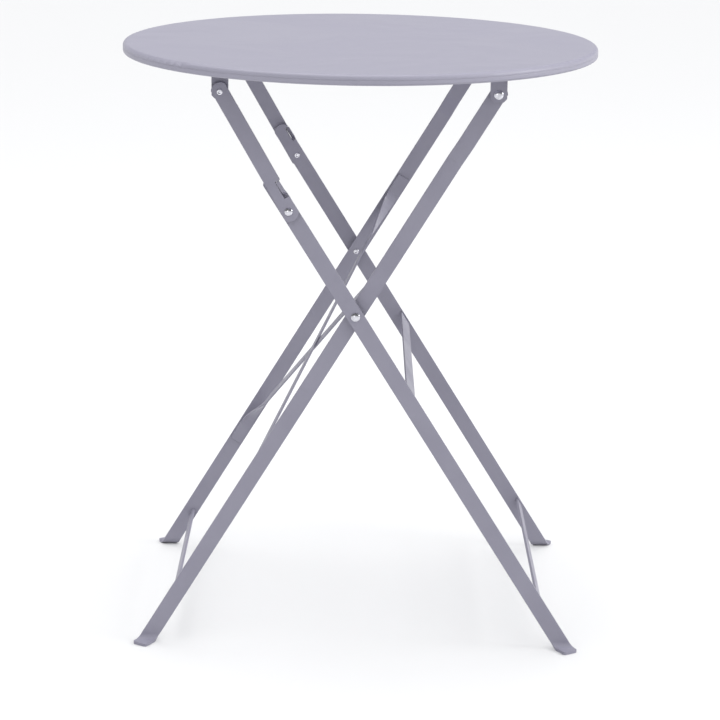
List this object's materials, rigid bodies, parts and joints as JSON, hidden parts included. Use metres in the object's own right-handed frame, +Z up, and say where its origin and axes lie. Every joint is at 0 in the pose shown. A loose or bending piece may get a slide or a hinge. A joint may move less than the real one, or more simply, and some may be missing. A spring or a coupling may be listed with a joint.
{
  "type": "bistro table",
  "caption": "Round folding bistro table: sheet-steel top with rolled rim on crossed flat-bar legs, locked open by over-centre links.",
  "frame": {"origin": "on the floor under the centre of the round top", "axes": "+Z up, -Y the front, +X to the right seen from the front; the leg pivots lie along Y"},
  "size_m": [0.5999, 0.6, 0.745],
  "materials": {
    "powder_coat": "satin powder coat, pale lavender grey",
    "rivet_plate": "bright nickel plate",
    "washer_steel": "zinc-plated steel"
  },
  "bodies": {
    "inner_frame": {"inner_leg_front": "powder_coat", "inner_leg_back": "powder_coat", "inner_lower_stretcher": "powder_coat", "inner_brace_a": "powder_coat", "inner_brace_b": "powder_coat", "cross_rivet_front": "rivet_plate", "right_ear_rivet_inner_front": "rivet_plate", "cross_washer_front": "washer_steel", "right_ear_washer_front": "washer_steel", "cross_rivet_back": "rivet_plate", "right_ear_rivet_inner_back": "rivet_plate", "cross_washer_back": "washer_steel", "right_ear_washer_back": "washer_steel"},
    "outer_frame": {"outer_leg_front": "powder_coat", "outer_leg_back": "powder_coat", "outer_middle_stretcher": "powder_coat", "outer_lower_stretcher": "powder_coat", "knee_rivet_front": "rivet_plate", "knee_washer_front": "washer_steel", "knee_rivet_back": "rivet_plate", "knee_washer_back": "washer_steel"},
    "tabletop": {"tabletop_panel": "powder_coat", "left_crossbar": "powder_coat", "right_crossbar": "powder_coat", "left_ear_rivet_front": "rivet_plate", "left_ear_washer_front": "washer_steel", "right_ear_rivet_outer_front": "rivet_plate", "left_ear_rivet_back": "rivet_plate", "left_ear_washer_back": "washer_steel", "right_ear_rivet_outer_back": "rivet_plate"},
    "front_link": {"link_front": "powder_coat"},
    "back_link": {"link_back": "powder_coat"}
  },
  "joints": [
    {"name": "fold", "type": "hinge", "parent": "inner_frame", "child": "outer_frame", "pos_m": [-0.002, 0, 0.4325], "axis": [0, 1, 0], "range_deg": [0, 60.8]},
    {"name": "top_tilt", "type": "hinge", "parent": "front_link", "child": "tabletop", "pos_m": [-0.167, 0, 0.708], "axis": [0, 1, 0], "range_deg": [0, 55.02]},
    {"name": "front_link_swing", "type": "hinge", "parent": "outer_frame", "child": "front_link", "pos_m": [-0.08442, -0.1946, 0.56389], "axis": [0, -1, 0], "range_deg": [0, 167.04]},
    {"name": "back_link_swing", "type": "hinge", "parent": "outer_frame", "child": "back_link", "pos_m": [-0.08442, 0.1946, 0.56389], "axis": [0, -1, 0], "range_deg": [0, 167.04]}
  ],
  "couplings": [
    {"joint": "top_tilt", "follows": "fold", "ratio": 0.90171},
    {"joint": "front_link_swing", "follows": "fold", "ratio": 2.7424},
    {"joint": "back_link_swing", "follows": "fold", "ratio": 2.7424}
  ]
}
